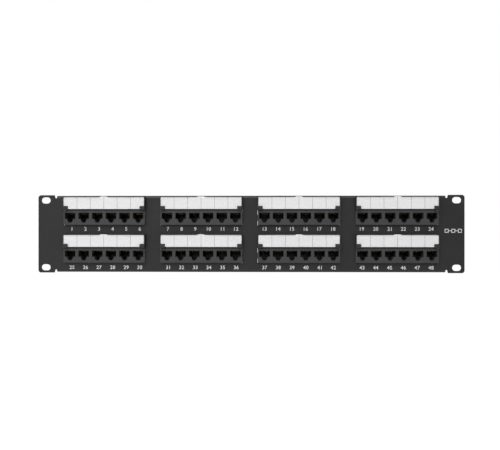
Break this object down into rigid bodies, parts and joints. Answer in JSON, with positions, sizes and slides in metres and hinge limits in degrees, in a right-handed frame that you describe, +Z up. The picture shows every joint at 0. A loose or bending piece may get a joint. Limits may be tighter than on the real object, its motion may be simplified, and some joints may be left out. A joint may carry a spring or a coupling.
{
  "type": "patch panel",
  "caption": "Rack-mount network patch panel with folded steel faceplate, modular jacks, hinged label covers and rear punch-down blocks.",
  "frame": {"origin": "middle of the faceplate's flat rear face, which is the plane that meets the rack rails", "axes": "+X right as seen from the front, +Z up, and the jacks face -Y"},
  "size_m": [0.4826, 0.0387, 0.0882],
  "materials": {
    "black_paint": "satin",
    "grey_plastic": "satin",
    "black_plastic": "satin",
    "white_card": "matte",
    "clear_plastic": "gloss",
    "spring_metal": "satin",
    "green_board": "satin"
  },
  "bodies": {
    "panel": {"faceplate": "black_paint", "jack_housing_1": "grey_plastic", "label_holder_1": "black_plastic", "label_card_1": "white_card", "contact_insert_1": "spring_metal", "circuit_board_1": "green_board", "punch_down_block_1": "black_plastic", "jack_housing_2": "grey_plastic", "label_holder_2": "black_plastic", "label_card_2": "white_card", "contact_insert_2": "spring_metal", "circuit_board_2": "green_board", "punch_down_block_2": "black_plastic", "jack_housing_3": "grey_plastic", "label_holder_3": "black_plastic", "label_card_3": "white_card", "contact_insert_3": "spring_metal", "circuit_board_3": "green_board", "punch_down_block_3": "black_plastic", "jack_housing_4": "grey_plastic", "label_holder_4": "black_plastic", "label_card_4": "white_card", "contact_insert_4": "spring_metal", "circuit_board_4": "green_board", "punch_down_block_4": "black_plastic", "jack_housing_5": "grey_plastic", "label_holder_5": "black_plastic", "label_card_5": "white_card", "contact_insert_5": "spring_metal", "circuit_board_5": "green_board", "punch_down_block_5": "black_plastic", "jack_housing_6": "grey_plastic", "label_holder_6": "black_plastic", "label_card_6": "white_card", "contact_insert_6": "spring_metal", "circuit_board_6": "green_board", "punch_down_block_6": "black_plastic", "jack_housing_7": "grey_plastic", "label_holder_7": "black_plastic", "label_card_7": "white_card", "contact_insert_7": "spring_metal", "circuit_board_7": "green_board", "punch_down_block_7": "black_plastic", "jack_housing_8": "grey_plastic", "label_holder_8": "black_plastic", "label_card_8": "white_card", "contact_insert_8": "spring_metal", "circuit_board_8": "green_board", "punch_down_block_8": "black_plastic"},
    "cover_1": {"label_cover_1": "clear_plastic"},
    "cover_2": {"label_cover_2": "clear_plastic"},
    "cover_3": {"label_cover_3": "clear_plastic"},
    "cover_4": {"label_cover_4": "clear_plastic"},
    "cover_5": {"label_cover_5": "clear_plastic"},
    "cover_6": {"label_cover_6": "clear_plastic"},
    "cover_7": {"label_cover_7": "clear_plastic"},
    "cover_8": {"label_cover_8": "clear_plastic"}
  },
  "joints": [
    {"name": "cover_hinge_1", "type": "hinge", "parent": "panel", "child": "cover_1", "pos_m": [-0.1653, -0.0067, 0.02905], "axis": [1, 0, 0], "range_deg": [0, 100]},
    {"name": "cover_hinge_2", "type": "hinge", "parent": "panel", "child": "cover_2", "pos_m": [-0.0551, -0.0067, 0.02905], "axis": [1, 0, 0], "range_deg": [0, 100]},
    {"name": "cover_hinge_3", "type": "hinge", "parent": "panel", "child": "cover_3", "pos_m": [0.0551, -0.0067, 0.02905], "axis": [1, 0, 0], "range_deg": [0, 100]},
    {"name": "cover_hinge_4", "type": "hinge", "parent": "panel", "child": "cover_4", "pos_m": [0.1653, -0.0067, 0.02905], "axis": [1, 0, 0], "range_deg": [0, 100]},
    {"name": "cover_hinge_5", "type": "hinge", "parent": "panel", "child": "cover_5", "pos_m": [-0.1653, -0.0067, -0.01375], "axis": [1, 0, 0], "range_deg": [0, 100]},
    {"name": "cover_hinge_6", "type": "hinge", "parent": "panel", "child": "cover_6", "pos_m": [-0.0551, -0.0067, -0.01375], "axis": [1, 0, 0], "range_deg": [0, 100]},
    {"name": "cover_hinge_7", "type": "hinge", "parent": "panel", "child": "cover_7", "pos_m": [0.0551, -0.0067, -0.01375], "axis": [1, 0, 0], "range_deg": [0, 100]},
    {"name": "cover_hinge_8", "type": "hinge", "parent": "panel", "child": "cover_8", "pos_m": [0.1653, -0.0067, -0.01375], "axis": [1, 0, 0], "range_deg": [0, 100]}
  ]
}
